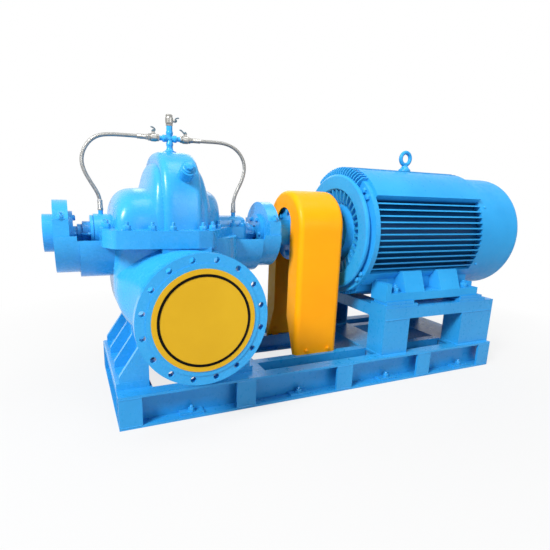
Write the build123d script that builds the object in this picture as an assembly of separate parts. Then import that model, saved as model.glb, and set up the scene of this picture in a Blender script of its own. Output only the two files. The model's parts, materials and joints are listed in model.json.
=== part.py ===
"""Horizontal split-case double-suction pump set: pump, motor, guard and skid.

X runs along the shaft from the pump to the motor, +Y away from the suction
side, +Z up. The origin is on the floor, in the middle of the anchor bolts and
under the shaft. Sizes are in millimetres.
"""
from build123d import *
import os
from math import sin, cos, radians, sqrt, pi

os.makedirs("parts", exist_ok=True)

# Main layout
shaft_z = 762.0            # height of the shaft centre line
pump_x = -798.0            # middle plane of the pump
running_gap = 0.05         # radial clearance in the bearings
clear = 6.0                # free space round turning parts

# Skid of rolled channels
skid_length = 2108.0
skid_width = 739.0
skid_height = 145.0
skid_centre_x = -47.0
beam_flange = 64.0         # flange width of the outer channels
beam_web = 9.0
beam_flange_t = 11.0
pad_width = 92.0           # plates that close the channel mouth
pad_t = 12.0
pad_shares = (0.0, 0.249, 0.512, 0.769, 1.0)   # along the beam, end to end
rail_front_y = -212.0      # inner rails that carry the guard
rail_flange = 48.0
rail_height = 100.0
rail_t = 8.0
bearer_t = 12.0            # plates across the skid under feet and posts
bearer_web_t = 10.0
bearer_end = 82.0          # width of the plate at the left end
anchor_xs = (-798.0, -266.0, 266.0, 798.0)
anchor_y = 338.0           # anchor bolts go through the lower flange
anchor_hole_r = 11.0
lug_length = 104.0
lug_width = 44.0
lug_t = 10.0

# Motor stand
post_w = (167.0, 238.0)    # left and right post, along X
post_depth = 130.0
post_t = 10.0
stand_y = 345.0            # outer face of the stand, from the shaft
stand_rail_z = 337.0
stand_rail_h = 63.0
stand_rail_t = 10.0
stand_x0 = 217.0           # left end; the right end is flush with the skid
stand_end_t = 8.0
pack_w = (216.0, 202.0)    # packing plates under the two ends of the motor
pack_set = 66.0            # from the right end of the stand to the plate
pack_h = (16.0, 14.0)      # two packing plates, wide one below

# Pump casing
split_t = 35.0             # each half of the split flange
split_front = 330.0
split_end_x = 335.0
flange_set = 16.0          # left end of the flange behind the stuffing box
split_boss_y = 112.0       # narrow part of the flange at the motor side
crown_r = 351.0            # volute hood above the shaft
crown_half = 54.0
hood_ratio = 0.735         # hood depth over its height
shoulder_r = 300.0         # step in the hood beside the crown
cheek_r = 198.0            # suction chambers beside the hood
cheek_left = 268.0
cheek_right = 206.0
boss_z = 258.0             # plug boss on the hood, above the shaft
boss_r = 31.0
suction_z = 486.5
suction_face = 551.0       # flange faces, from the shaft axis
flange_r = 252.5
flange_t = 34.0
flange_bolt_r = 230.0
flange_bolts = 16
flange_hole_r = 11.5
raised_r = 215.0
raised_h = 3.0
neck_r = 196.0
out_face = 520.0           # discharge side
out_flange_r = 222.5
out_flange_t = 32.0
out_bolt_r = 200.0
out_bolts = 12
out_raised_r = 185.0
out_neck_r = 172.0
foot_in = 168.0            # pump feet, from the middle plane
foot_out = 302.0
foot_half_y = 295.0
foot_t = 28.0
leg_t = 26.0
gusset_ys = (-283.0, -96.0, 96.0, 283.0)
gusset_t = 22.0
foot_hole_r = 13.0

# Bearing brackets and stuffing boxes
arm_r = 166.0
arm_root_drop = 21.0       # the root is deeper than the outer part
arm_root_x = 398.0
arm_wall = 18.0
arm_in = 262.0
arm_out = 490.0
arm_top = -18.0            # rim of the bracket, from the shaft centre
arm_rise = 26.0
bearing_in = 432.0
bearing_out = 489.0
bearing_r = 128.0
cap_r = (137.0, 151.0)     # bearing caps above the joint, left and right
bearing_bore_r = 55.0
cover_r = 78.0
cover_out = 530.0          # outer face of the bearing covers
cover_right_r = 89.0
inner_cover_r = 92.0
inner_cover_t = 16.0
box_r = 82.0               # stuffing box bore housing
box_bore_r = 46.0
gland_flange_t = 14.0
gland_nose_r = 50.0
gland_nose_end = 380.0

# Shaft line
shaft_r = 29.0
sleeve_r = 38.0
sleeve_in = 300.0
sleeve_out = 400.0
shaft_left = cover_out - 25.0
coupling_gap = 4.0
cover_hub_gap = 12.0       # right bearing cover to coupling hub
coupling_r = 140.0
coupling_t = 44.0
hub_r = 66.0
hub_len = 66.0
pin_circle_r = 108.0
pin_count = 8
pin_r = 10.0
motor_shaft_r = 40.0

# Guard
guard_x0 = -216.0
guard_x1 = 36.0
guard_edge_r = 26.0        # soft bend between the front and the sides
guard_half = 188.0
guard_top = 974.0
guard_t = 3.0
guard_slot_r = 78.0
guard_slot_z = 50.0        # slot arch centre above the shaft

# Motor
motor_x0 = 150.0           # frame from here to the fan cowl
motor_x1 = 866.0
core_r = 284.0
fin_r = 324.0
top_fin_r = 346.0
fin_t = 7.0
fin_pitch = 30.0
side_fins = 12
top_fins = 12
shield_x = 86.0            # front plane of the end shield
shield_r = 306.0
rim_r = 330.0              # mounting rim between shield and frame
rim_t = 28.0
dish_r = 228.0
hub_ring_r = 130.0
cowl_x1 = 1178.0
cowl_r = 322.0
terminal_x0 = 330.0
terminal_w = 230.0
terminal_z0 = 700.0
terminal_h = 200.0
foot_rail_x0 = 228.0
foot_rail_x1 = 886.0
foot_rail_y = 326.0
foot_rail_w = 118.0
foot_rail_h = 44.0
foot_ribs = ((353.0, 486.0), (601.0, 746.0))
foot_rib_top = 150.0       # above the underside of the foot
eye_x = 545.0
eye_r = 33.0
eye_bar_r = 11.0

# Vent piping and hoses
riser_reach = 55.0         # from the crown to the middle of the cross
pipe_r = 13.5
hose_r = 8.0
valve_half = 24.0
gland_hose_x = 303.0

shaft_axis = Axis((0, 0, shaft_z), (1, 0, 0))


def block(x0, x1, y0, y1, z0, z1):
    """Box between the given limits."""
    return Pos((x0 + x1) / 2, (y0 + y1) / 2, (z0 + z1) / 2) * Box(abs(x1 - x0), abs(y1 - y0), abs(z1 - z0))


def rod_x(r, x0, x1, y=0.0, z=shaft_z):
    """Round bar along X."""
    return Pos((x0 + x1) / 2, y, z) * Rot(0, 90, 0) * Cylinder(r, abs(x1 - x0))


def rod_y(r, y0, y1, x=0.0, z=0.0):
    """Round bar along Y."""
    return Pos(x, (y0 + y1) / 2, z) * Rot(90, 0, 0) * Cylinder(r, abs(y1 - y0))


def rod_z(r, z0, z1, x=0.0, y=0.0):
    """Round bar along Z."""
    return Pos(x, y, (z0 + z1) / 2) * Cylinder(r, abs(z1 - z0))


def turned(points):
    """Solid of revolution about the shaft from (x, radius) points."""
    face = make_face(Polyline(*[(x, 0, shaft_z + r) for x, r in points], close=True))
    return revolve(face, shaft_axis)


def mirror_x(shape, x=0.0):
    """Mirror image about the plane at x."""
    return mirror(shape, about=Plane.YZ.offset(x))


def mirror_y(shape):
    """Mirror image about the plane through the shaft."""
    return mirror(shape, about=Plane.XZ)


def fused(shapes):
    """One solid from shapes that meet."""
    whole = shapes[0]
    for shape in shapes[1:]:
        whole = whole + shape
    return whole


def save(name, *shapes):
    """Write one sub-part."""
    solids = []
    for shape in shapes:
        solids.extend(shape.solids())
    result = solids[0] if len(solids) == 1 else Compound(children=solids)
    export_step(result, "parts/" + name + ".step")


# Skid
skid_x0 = skid_centre_x - skid_length / 2
skid_x1 = skid_centre_x + skid_length / 2
half_w = skid_width / 2


def long_beam():
    """Front channel, mouth outward, with the plates that close it."""
    y0 = -half_w
    y1 = y0 + beam_flange
    web = block(skid_x0, skid_x1, y1 - beam_web, y1, 0, skid_height)
    low = block(skid_x0, skid_x1, y0, y1, 0, beam_flange_t)
    top = block(skid_x0, skid_x1, y0, y1, skid_height - beam_flange_t, skid_height)
    beam = fused([web, low, top])
    for share in pad_shares:
        left = skid_x0 + share * (skid_length - pad_width)
        beam += block(left, left + pad_width, y0, y0 + pad_t, 0, skid_height)
    for x in anchor_xs:
        beam -= rod_z(anchor_hole_r, -1, beam_flange_t + 1, x, -anchor_y)
    return beam


def end_beam():
    """Channel across the left end, mouth outward."""
    y0 = -half_w + beam_flange
    web = block(skid_x0 + beam_flange - beam_web, skid_x0 + beam_flange, y0, -y0, 0, skid_height)
    low = block(skid_x0, skid_x0 + beam_flange, y0, -y0, 0, beam_flange_t)
    top = block(skid_x0, skid_x0 + beam_flange, y0, -y0, skid_height - beam_flange_t, skid_height)
    return fused([web, low, top])


def bearer(x0, x1, ends):
    """Plate across the skid on two webs."""
    y0 = -half_w + beam_flange
    plate = block(x0, x1, y0, -y0, skid_height - bearer_t, skid_height)
    webs = [block(x, x + bearer_web_t, y0, -y0, 0, skid_height) for x in ends]
    return fused([plate] + webs)


front_beam = long_beam()
save("skid_front_beam", front_beam)
save("skid_rear_beam", mirror_y(front_beam))
left_end = end_beam()
save("skid_end_beams", left_end, mirror_x(left_end, skid_centre_x))
stand_x1 = skid_x1
bearers = (
    (skid_x0 + beam_flange, skid_x0 + beam_flange + bearer_end),
    (pump_x + foot_in - 10, pump_x + foot_out + 60),
    (stand_x0, stand_x0 + post_w[0] + 16),
    (stand_x1 - post_w[1] - 16, skid_x1 - beam_flange),
)
cross = []
for a, b in bearers:
    cross.append(bearer(a, b, (a + 12, b - 12 - bearer_web_t)))
save("skid_bearers", *cross)

rails = []
for k in (1, 2):
    a = bearers[k][1]
    b = bearers[k + 1][0]
    ry0 = rail_front_y
    ry1 = rail_front_y + rail_flange
    rz0 = skid_height - rail_height
    rail = fused([
        block(a, b, ry0, ry0 + rail_t, rz0, skid_height),
        block(a, b, ry0, ry1, skid_height - rail_t, skid_height),
        block(a, b, ry0, ry1, rz0, rz0 + rail_t),
    ])
    rails.append(rail)
    rails.append(mirror_y(rail))
save("skid_inner_rails", *rails)

lugs = []
for x in anchor_xs:
    y1 = -half_w + beam_flange - beam_web
    lug = block(x - lug_length / 2, x + lug_length / 2, y1 - lug_width, y1, beam_flange_t, beam_flange_t + lug_t)
    lug -= rod_z(anchor_hole_r, 0, skid_height / 2, x, -anchor_y)
    lugs.append(lug)
    lugs.append(mirror_y(lug))
save("skid_anchor_lugs", *lugs)

# Motor stand
stand_in_y = stand_y - post_depth


def post(x0, x1):
    """Folded post, open towards the middle of the skid."""
    shell = block(x0, x1, -stand_y, -stand_in_y, skid_height, stand_rail_z)
    shell -= block(x0 + post_t, x1 - post_t, -stand_y + post_t, -stand_in_y + 1, skid_height - 1, stand_rail_z + 1)
    shell += block(x0, x1, -stand_y, -stand_in_y, skid_height, skid_height + post_t)
    return shell


def stand_rail(y0, y1, x0, x1):
    """Channel with its mouth down, closed at both ends."""
    z0 = stand_rail_z
    z1 = stand_rail_z + stand_rail_h
    top = block(x0, x1, y0, y1, z1 - stand_rail_t, z1)
    a = block(x0, x1, y0, y0 + stand_rail_t, z0, z1)
    b = block(x0, x1, y1 - stand_rail_t, y1, z0, z1)
    ends = [block(x, x + stand_end_t, y0, y1, z0, z1) for x in (x0, x1 - stand_end_t)]
    return fused([top, a, b] + ends)


post_x = ((stand_x0, stand_x0 + post_w[0]), (stand_x1 - post_w[1], stand_x1))
posts = []
for x0, x1 in post_x:
    one = post(x0, x1)
    posts.append(one)
    posts.append(mirror_y(one))
save("stand_posts", *posts)
front_rail = stand_rail(-stand_y, -stand_in_y, stand_x0, stand_x1)
save("stand_long_rails", front_rail, mirror_y(front_rail))


def cross_rail(x0):
    """Channel between the long rails, mouth down."""
    z0 = stand_rail_z
    z1 = stand_rail_z + stand_rail_h
    x1 = x0 + 100
    top = block(x0, x1, -stand_in_y, stand_in_y, z1 - stand_rail_t, z1)
    a = block(x0, x0 + stand_rail_t, -stand_in_y, stand_in_y, z0, z1)
    b = block(x1 - stand_rail_t, x1, -stand_in_y, stand_in_y, z0, z1)
    return fused([top, a, b])


save("stand_cross_rails", cross_rail(stand_x0), cross_rail(stand_x1 - 100))
packs = []
pack_z = stand_rail_z + stand_rail_h
pack_right = stand_x1 - pack_set
for x0, x1 in ((stand_x0, stand_x0 + pack_w[0]), (pack_right - pack_w[1], pack_right)):
    low = block(x0, x1, -stand_y + 4, -stand_in_y - 4, pack_z, pack_z + pack_h[0])
    high = block(x0 + 14, x1 - 22, -stand_y + 10, -stand_in_y - 12, pack_z + pack_h[0], pack_z + sum(pack_h))
    both = low + high
    packs.append(both)
    packs.append(mirror_y(both))
save("stand_packing_plates", *packs)
foot_z = pack_z + sum(pack_h)

# Pump casing. The middle plane is x = 0 while it is built.
to_pump = Pos(pump_x, 0, 0)


def arch_loft(rows):
    """Form along X through rounded oblong sections of the given (x, height, depth)."""
    sections = []
    for x, height, depth in rows:
        points = []
        for k in range(28):
            a = 2 * pi * k / 28
            across = abs(cos(a)) ** (2 / 3) * (1 if cos(a) > 0 else -1)
            up = abs(sin(a)) ** (2 / 3) * (1 if sin(a) > 0 else -1)
            points.append((x, depth * across, shaft_z + height * up))
        sections.append(make_face(Spline(*points, periodic=True)))
    return loft(sections)


def split_flange(z0, z1):
    """Flange of the casing joint: wide over the volute, narrow at the motor side."""
    left = split_end_x - flange_set
    front = [(-left, 0.72 * split_front), (-left + 35, 0.93 * split_front), (-150, 0.97 * split_front),
             (40, split_front), (108, 0.95 * split_front), (cheek_right + 14, 0.43 * split_front),
             (cheek_right + 52, split_boss_y), (split_end_x, split_boss_y)]
    outline = [(x, -y) for x, y in front] + list(reversed(front))
    return Pos(0, 0, z0) * extrude(make_face(FilletPolyline(*outline, radius=24, close=True)), z1 - z0)


def hood_band():
    """Volute hood: a broad band with soft edges."""
    edge = [(crown_half, 0), (crown_half + 14, 5), (crown_half + 23, 15), (crown_half + 27, 30)]
    right = [(x, crown_r - drop, (crown_r - drop) * hood_ratio) for x, drop in edge]
    left = [(-x, height, depth) for x, height, depth in reversed(right)]
    return arch_loft(left + [(0, crown_r + 0.5, (crown_r + 0.5) * hood_ratio)] + right)


def hood_shoulder():
    """Lower step of the hood on one side of the band, running out on the chamber."""
    steps = [(40, 1.0, 238), (86, 1.0, 238), (98, 0.96, 236), (110, 0.86, 230), (120, 0.74, 222), (128, 0.64, 212)]
    return arch_loft([(x, shoulder_r * share, depth) for x, share, depth in steps])


def cheek_away():
    """Suction chamber on the side away from the motor."""
    steps = [(60, 1.0, 232), (130, 1.0, 234), (185, 0.975, 235), (219, 0.915, 234), (243, 0.80, 228), (259, 0.635, 214), (268, 0.43, 185)]
    rows = [(-x * cheek_left / 268, cheek_r * share, depth) for x, share, depth in reversed(steps)]
    return arch_loft(rows)


def cheek_motor():
    """Suction chamber on the motor side."""
    steps = [(60, 1.0, 228), (118, 1.0, 207), (155, 0.98, 178), (180, 0.91, 150), (197, 0.79, 116), (206, 0.60, 80)]
    return arch_loft([(x * cheek_right / 206, cheek_r * share, depth) for x, share, depth in steps])


tunnel = rod_x(box_bore_r, -600, 600)
upper_space = block(-700, 700, -700, 700, shaft_z, shaft_z + 700)
lower_space = block(-700, 700, -700, 700, -10, shaft_z)

upper = hood_band() + hood_shoulder() + mirror_x(hood_shoulder()) + cheek_away() + cheek_motor()
upper += rod_x(box_r, -split_end_x, split_end_x)
upper = (upper & upper_space) + split_flange(shaft_z, shaft_z + split_t)
boss_face = hood_ratio * crown_r - 2
upper += Pos(14, -boss_face + 20, shaft_z + boss_z) * Rot(64, 0, 0) * Cylinder(boss_r, 84)
upper += rod_z(30, shaft_z + crown_r - 40, shaft_z + crown_r + 6, 0, 0)
upper -= tunnel
save("casing_upper", to_pump * upper)


def bowl():
    """Lower body: rounded sections lofted from the split down."""
    rows = [(0, 272, 276), (-50, 273, 276), (-122, 274, 266), (-190, 272, 258), (-266, 267, 250), (-334, 248, 236),
            (-385, 219, 214), (-434, 172, 178), (-466, 112, 130)]
    sections = []
    for drop, hx, hy in rows:
        sections.append(Pos(0, 0, shaft_z + drop) * RectangleRounded(2 * hx, 2 * hy, 0.62 * min(hx, hy)))
    return loft(sections)


def nozzle(face, flange, thick, neck, raised, bolt_r, bolts, hole, side):
    """Branch with its flange, along Y on the given side."""
    y = side * face
    root = side * 120
    body = rod_y(neck, root, y, 0, suction_z)
    body += rod_y(flange, y - side * raised_h, y - side * (raised_h + thick), 0, suction_z)
    body += rod_y(raised, y, y - side * (raised_h + 1), 0, suction_z)
    for k in range(bolts):
        a = 2 * pi * (k + 0.5) / bolts
        body -= rod_y(hole, y + side, y - side * (thick + raised_h + 1), bolt_r * cos(a), suction_z + bolt_r * sin(a))
    return body


def swell(side, neck):
    """Body of a branch: rounded sections along Y from the bowl to the neck."""
    rows = [(120, 262, 541, 221), (230, 250, 522, 222), (310, 222, 509, 217), (380, 0.5 * (222 + neck), 496, 0.5 * (213 + neck)),
            (440, neck, suction_z, neck)]
    sections = []
    for y, half_x, z, half_z in rows:
        points = []
        for k in range(24):
            a = 2 * pi * k / 24
            across = abs(cos(a)) ** (2 / 2.3) * (1 if cos(a) > 0 else -1)
            up = abs(sin(a)) ** (2 / 2.3) * (1 if sin(a) > 0 else -1)
            points.append((half_x * across, side * y, z + half_z * up))
        sections.append(make_face(Spline(*points, periodic=True)))
    return loft(sections)


def leg(side):
    """Foot, leg wall and outer gussets on one side of the casing."""
    inner = side * foot_in
    outer = side * foot_out
    wall = side * (foot_in + leg_t)
    base = block(inner, outer, -foot_half_y, foot_half_y, skid_height, skid_height + foot_t)
    body = base + block(inner, wall, -foot_half_y, foot_half_y, skid_height, 400)
    for y in gusset_ys:
        slope = Polyline((wall, 0, 400), (wall, 0, skid_height), (outer - side * 14, 0, skid_height),
                         (outer - side * 14, 0, 200), (side * 206, 0, 322), (side * 206, 0, 400), close=True)
        face = Pos(0, y + gusset_t / 2, 0) * make_face(slope)
        body += extrude(face, gusset_t, dir=(0, -1, 0))
    for y in (-210, 210):
        body -= rod_z(foot_hole_r, skid_height - 1, skid_height + foot_t + 1, side * 248, y)
    return body


def arm(side):
    """Open bracket that carries one bearing: a half trough with an end wall."""
    x_end = side * arm_out
    x_in = side * arm_in
    x_root = side * arm_root_x
    outer = rod_x(arm_r, x_in, x_end) + rod_x(arm_r, x_in, x_root, 0, shaft_z - arm_root_drop)
    inner = rod_x(arm_r - arm_wall, x_in - side * 20, side * bearing_in)
    trough = (outer - inner) & block(-600, 600, -400, 400, 200, shaft_z + arm_top)
    wall = rod_x(arm_r, side * (bearing_in - arm_rise), x_end) & block(-600, 600, -400, 400, 200, shaft_z)
    wall -= rod_x(arm_r - arm_wall, side * (bearing_in - arm_rise - 1), side * bearing_in)
    return trough + wall


lower = bowl() + swell(-1, neck_r - 1) + swell(1, out_neck_r - 1)
lower += nozzle(suction_face, flange_r, flange_t, neck_r, raised_r, flange_bolt_r, flange_bolts, flange_hole_r, -1)
lower += nozzle(out_face, out_flange_r, out_flange_t, out_neck_r, out_raised_r, out_bolt_r, out_bolts, flange_hole_r, 1)
lower += rod_x(box_r, -split_end_x, split_end_x) & lower_space
lower += split_flange(shaft_z - split_t, shaft_z)
lower += block(-104, 96, -split_front + 10, -200, shaft_z - 2 * split_t, shaft_z - split_t + 2)
for side in (-1, 1):
    lower += leg(side)
    lower += arm(side)
lower -= tunnel
for side in (-1, 1):
    lower -= rod_x(bearing_r, side * bearing_in, side * (arm_out + 1))
save("casing_lower", to_pump * lower)

# Bearings
for side, name in ((-1, "left"), (1, "right")):
    x_in = side * bearing_in
    x_out = side * bearing_out
    body = rod_x(bearing_r, x_in, x_out)
    body += rod_x(cap_r[0] if side < 0 else cap_r[1], x_in, x_out) & upper_space
    pads = block(x_in, x_out, -158, 158, shaft_z, shaft_z + 66)
    body += pads
    body -= rod_x(bearing_bore_r, x_in - side, x_out + side)
    body += rod_x(bearing_bore_r, side * (bearing_in + 10), side * (bearing_out - 10))
    body -= rod_x(shaft_r + running_gap, x_in - side, x_out + side)
    save("bearing_housing_" + name, to_pump * body)
    cover = rod_x(cover_r if side < 0 else cover_right_r, x_out, side * cover_out)
    if side < 0:
        cover -= rod_x(shaft_r + clear, x_out + 1, side * (shaft_left + 8))
    else:
        cover -= rod_x(shaft_r + clear, x_out - 1, side * (cover_out + 1))
    save("bearing_cover_" + name, to_pump * cover)
    inner = rod_x(inner_cover_r, x_in, side * (bearing_in - inner_cover_t))
    inner -= rod_x(shaft_r + clear, x_in + side, side * (bearing_in - inner_cover_t - 1))
    save("inner_cover_" + name, to_pump * inner)
    flange = rod_x(74, side * split_end_x, side * (split_end_x + gland_flange_t))
    nose = rod_x(gland_nose_r, side * (split_end_x + 1), side * gland_nose_end)
    gland = flange + nose
    gland -= rod_x(sleeve_r + clear, side * (split_end_x - 1), side * (gland_nose_end + 1))
    save("gland_" + name, to_pump * gland)

# Flange covers
cover_disc = rod_y(196.5, -suction_face, -suction_face - 3, 0, suction_z)
ring = rod_y(177, -suction_face - 3, -suction_face - 4.2, 0, suction_z)
ring -= rod_y(167, -suction_face - 2, -suction_face - 5, 0, suction_z)
save("suction_cover", to_pump * cover_disc)
save("suction_cover_ring", to_pump * ring)
save("discharge_cover", to_pump * rod_y(174, out_face, out_face + 3, 0, suction_z))

# Shaft line
coupling_x = pump_x + cover_out + cover_hub_gap + hub_len + coupling_t + coupling_gap / 2
pump_shaft_end = coupling_x - coupling_gap / 2
shaft = rod_x(shaft_r, pump_x - shaft_left, pump_shaft_end)
save("pump_shaft", shaft)
sleeves = []
for side in (-1, 1):
    sleeve = rod_x(sleeve_r, side * sleeve_in, side * sleeve_out)
    sleeve -= rod_x(shaft_r, side * (sleeve_in - 1), side * (sleeve_out + 1))
    sleeves.append(to_pump * sleeve)
save("shaft_sleeves", *sleeves)


def coupling_half(side, bore):
    """Flanged half with its hub; side is the hub's direction."""
    face = coupling_x + side * coupling_gap / 2
    half = rod_x(coupling_r, face, face + side * coupling_t)
    half += rod_x(hub_r, face, face + side * (coupling_t + hub_len))
    half -= rod_x(bore, face - side, face + side * (coupling_t + hub_len + 1))
    for k in range(pin_count):
        a = 2 * pi * k / pin_count
        half -= rod_x(pin_r, face - side, face + side * (coupling_t + 1), pin_circle_r * cos(a), shaft_z + pin_circle_r * sin(a))
    return half


save("coupling_pump_half", coupling_half(-1, shaft_r))
save("coupling_motor_half", coupling_half(1, motor_shaft_r))
pins = []
for k in range(pin_count):
    a = 2 * pi * k / pin_count
    reach = coupling_t + coupling_gap / 2 + 10
    pins.append(rod_x(pin_r, coupling_x - reach, coupling_x + reach, pin_circle_r * cos(a), shaft_z + pin_circle_r * sin(a)))
save("coupling_pins", *pins)
# Guard
arch_z = guard_top - guard_half


def arch_face(half, low, crown_z0):
    """Upright outline with a half-round top, in the YZ plane at x = 0."""
    outline = Polyline((0, half, crown_z0), (0, half, low), (0, -half, low), (0, -half, crown_z0))
    top = ThreePointArc((0, -half, crown_z0), (0, 0, crown_z0 + half), (0, half, crown_z0))
    return make_face(outline + top)


def along_x(face, x0, x1):
    """Prism of a YZ face between two planes."""
    return extrude(Pos(x0, 0, 0) * face, x1 - x0, dir=(1, 0, 0))




def soft_arch(inset, low):
    """Arch prism with rounded end edges, inset from the guard's outside."""
    x0 = guard_x0 + inset
    x1 = guard_x1 - inset
    body = along_x(arch_face(guard_half - inset, low, arch_z), x0, x1)
    ends = [e for e in body.edges() if e.center().Z > low + 1 and min(abs(e.center().X - x0), abs(e.center().X - x1)) < 0.5]
    return fillet(ends, guard_edge_r - inset)


guard = soft_arch(0, skid_height) - soft_arch(guard_t, skid_height - 20)
slot_low = skid_height - 1
guard_opening = along_x(arch_face(guard_slot_r, slot_low, shaft_z + guard_slot_z), guard_x0 - 1, guard_x1 + 1)
flare_top = skid_height + 190
flare_half = guard_half - guard_edge_r - 4
flare = make_face(Polyline((0, -guard_slot_r + 1, flare_top), (0, guard_slot_r - 1, flare_top), (0, flare_half, slot_low),
                           (0, -flare_half, slot_low), close=True))
guard -= guard_opening
guard -= along_x(flare, guard_x0 - 1, guard_x1 + 1)
save("guard_cover", guard)
feet = []
for x in (guard_x0 + 60, guard_x1 - 60):
    foot = block(x - 18, x + 18, -guard_half + guard_t, -guard_half + guard_t + 20, skid_height, skid_height + 4)
    foot += block(x - 18, x + 18, -guard_half + guard_t, -guard_half + guard_t + 4, skid_height, skid_height + 40)
    feet.append(foot)
    feet.append(mirror_y(foot))
save("guard_feet", *feet)

# Motor
frame = rod_x(core_r, motor_x0, motor_x1)
limit = rod_x(fin_r, motor_x0, motor_x1)
top_limit = rod_x(top_fin_r, motor_x0, motor_x1)
reach = top_fin_r + 10
fins = []
for k in range(side_fins):
    z = shaft_z + (k - (side_fins - 1) / 2) * fin_pitch
    fins.append(block(motor_x0, motor_x1, -reach, reach, z - fin_t / 2, z + fin_t / 2) & limit)
for k in range(top_fins):
    y = (k - (top_fins - 1) / 2) * fin_pitch
    fins.append(block(motor_x0, motor_x1, y - fin_t / 2, y + fin_t / 2, shaft_z - reach, shaft_z + reach) & top_limit)
for fin in fins:
    frame += fin
far = 1.3 * reach
for low, high, edge in ((36, 74, top_limit), (106, 144, top_limit), (216, 234, limit), (306, 324, limit)):
    a0 = radians(low)
    a1 = radians(high)
    wedge = make_face(Polyline((motor_x0, 0, shaft_z), (motor_x0, far * cos(a0), shaft_z + far * sin(a0)),
                               (motor_x0, far * cos(a1), shaft_z + far * sin(a1)), close=True))
    frame += extrude(wedge, motor_x1 - motor_x0, dir=(1, 0, 0)) & edge
rib_y = foot_rail_y - 44
rib_in = core_r - 84
rib_z0 = foot_z + foot_rail_h - 2
rib_z1 = foot_z + foot_rib_top
for side in (-1, 1):
    y0 = side * foot_rail_y
    y1 = side * (foot_rail_y - foot_rail_w)
    frame += block(foot_rail_x0, foot_rail_x1, y0, y1, foot_z, foot_z + foot_rail_h)
    for x0, x1 in foot_ribs:
        rib = make_face(Polyline((x0, y0, rib_z0), (x0, side * rib_y, rib_z1), (x0, side * rib_in, rib_z1),
                                 (x0, side * rib_in, rib_z0), close=True))
        frame += extrude(rib, x1 - x0, dir=(1, 0, 0))
    frame += block(foot_rail_x0, foot_rail_x0 + 30, y0, side * rib_in, foot_z, foot_z + 95)
    frame += block(foot_rail_x1 - 30, foot_rail_x1, side * rib_y, side * rib_in, foot_z, foot_z + 70)
    frame += block(foot_rail_x0, foot_rail_x1, side * rib_in, side * (rib_in + 32), foot_z, rib_z1)
pad_x0 = terminal_x0 - 8
pad_x1 = terminal_x0 + terminal_w + 8
frame += block(pad_x0, pad_x1, 200, foot_rail_y, terminal_z0 - 8, terminal_z0 + terminal_h + 8)
shaft_in = motor_x0 + 100
frame -= rod_x(motor_shaft_r + clear, motor_x0 - 1, shaft_in + 10)
frame -= rod_x(cowl_r + 3, motor_x1, motor_x1 + 60)
save("motor_frame", frame)

motor_shaft = rod_x(motor_shaft_r, coupling_x + coupling_gap / 2, shaft_in)
save("motor_shaft", motor_shaft)

rim_x = motor_x0 - rim_t
shield = turned([(motor_x0, 0), (motor_x0, rim_r), (rim_x, rim_r), (rim_x, shield_r - 16), (rim_x - 10, shield_r - 16),
                 (shield_x + 16, shield_r), (shield_x + 6, shield_r), (shield_x, shield_r - 10), (shield_x, dish_r + 6),
                 (shield_x + 6, dish_r), (rim_x, dish_r - 6), (rim_x + 4, hub_ring_r + 10), (shield_x, hub_ring_r),
                 (shield_x, 0)])
shield -= rod_x(motor_shaft_r + running_gap, shield_x - 1, motor_x0 + 1)
save("motor_shield", shield)
bearing_cap = rod_x(104, shield_x, shield_x - 16) - rod_x(motor_shaft_r + clear, shield_x + 1, shield_x - 17)
save("motor_bearing_cap", bearing_cap)
cowl = rod_x(cowl_r, motor_x1, cowl_x1)
cowl = fillet(cowl.edges().filter_by(GeomType.CIRCLE).sort_by(Axis.X)[-1], 34)
save("motor_fan_cowl", cowl)
eye_base = shaft_z + top_fin_r
ring = Pos(eye_x, 0, eye_base + 24 + eye_r + eye_bar_r) * Rot(90, 0, 0) * Torus(eye_r, eye_bar_r)
ring += Pos(eye_x, 0, eye_base + 14) * Cone(26, 13, 28)
save("motor_eyebolt", ring)
terminal = block(terminal_x0, terminal_x0 + terminal_w, foot_rail_y, foot_rail_y + 144, terminal_z0, terminal_z0 + terminal_h)
save("motor_terminal_box", terminal)

# Vent piping
crown_z = shaft_z + crown_r + 6
vent_z = crown_z + riser_reach
cross_half = 30.0
nut_r = 12.0
riser = rod_z(pipe_r, crown_z, vent_z - cross_half, pump_x, 0)
save("vent_riser", riser)
cross_body = rod_z(19, vent_z - cross_half, vent_z + cross_half, pump_x, 0)
cross_body += rod_x(19, pump_x - cross_half, pump_x + cross_half, 0, vent_z)
save("vent_cross", cross_body)
top_pipe = rod_z(pipe_r, vent_z + cross_half, vent_z + 52, pump_x, 0)
save("vent_top_nipple", top_pipe)


def ball_valve():
    """Small ball valve body along +X from x = 0, stem on top."""
    end = 2 * valve_half
    outline = [(0, 0), (0, 12), (9, 12), (9, 15), (15, 17), (end - 15, 17), (end - 9, 15), (end - 9, 12), (end, 12), (end, 0)]
    body = revolve(make_face(Polyline(*[(x, 0, r) for x, r in outline], close=True)), Axis.X)
    body += rod_z(7, 10, 24, valve_half, 0)
    return body


def lever():
    """Handle of a small valve, on top of the stem at the origin."""
    plate = block(-9, 9, -9, 9, 0, 3)
    grip = block(0, 38, -6, 6, 0, 3)
    grip = grip + Pos(38, 0, 1.5) * Cylinder(6, 3)
    return plate + grip


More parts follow.
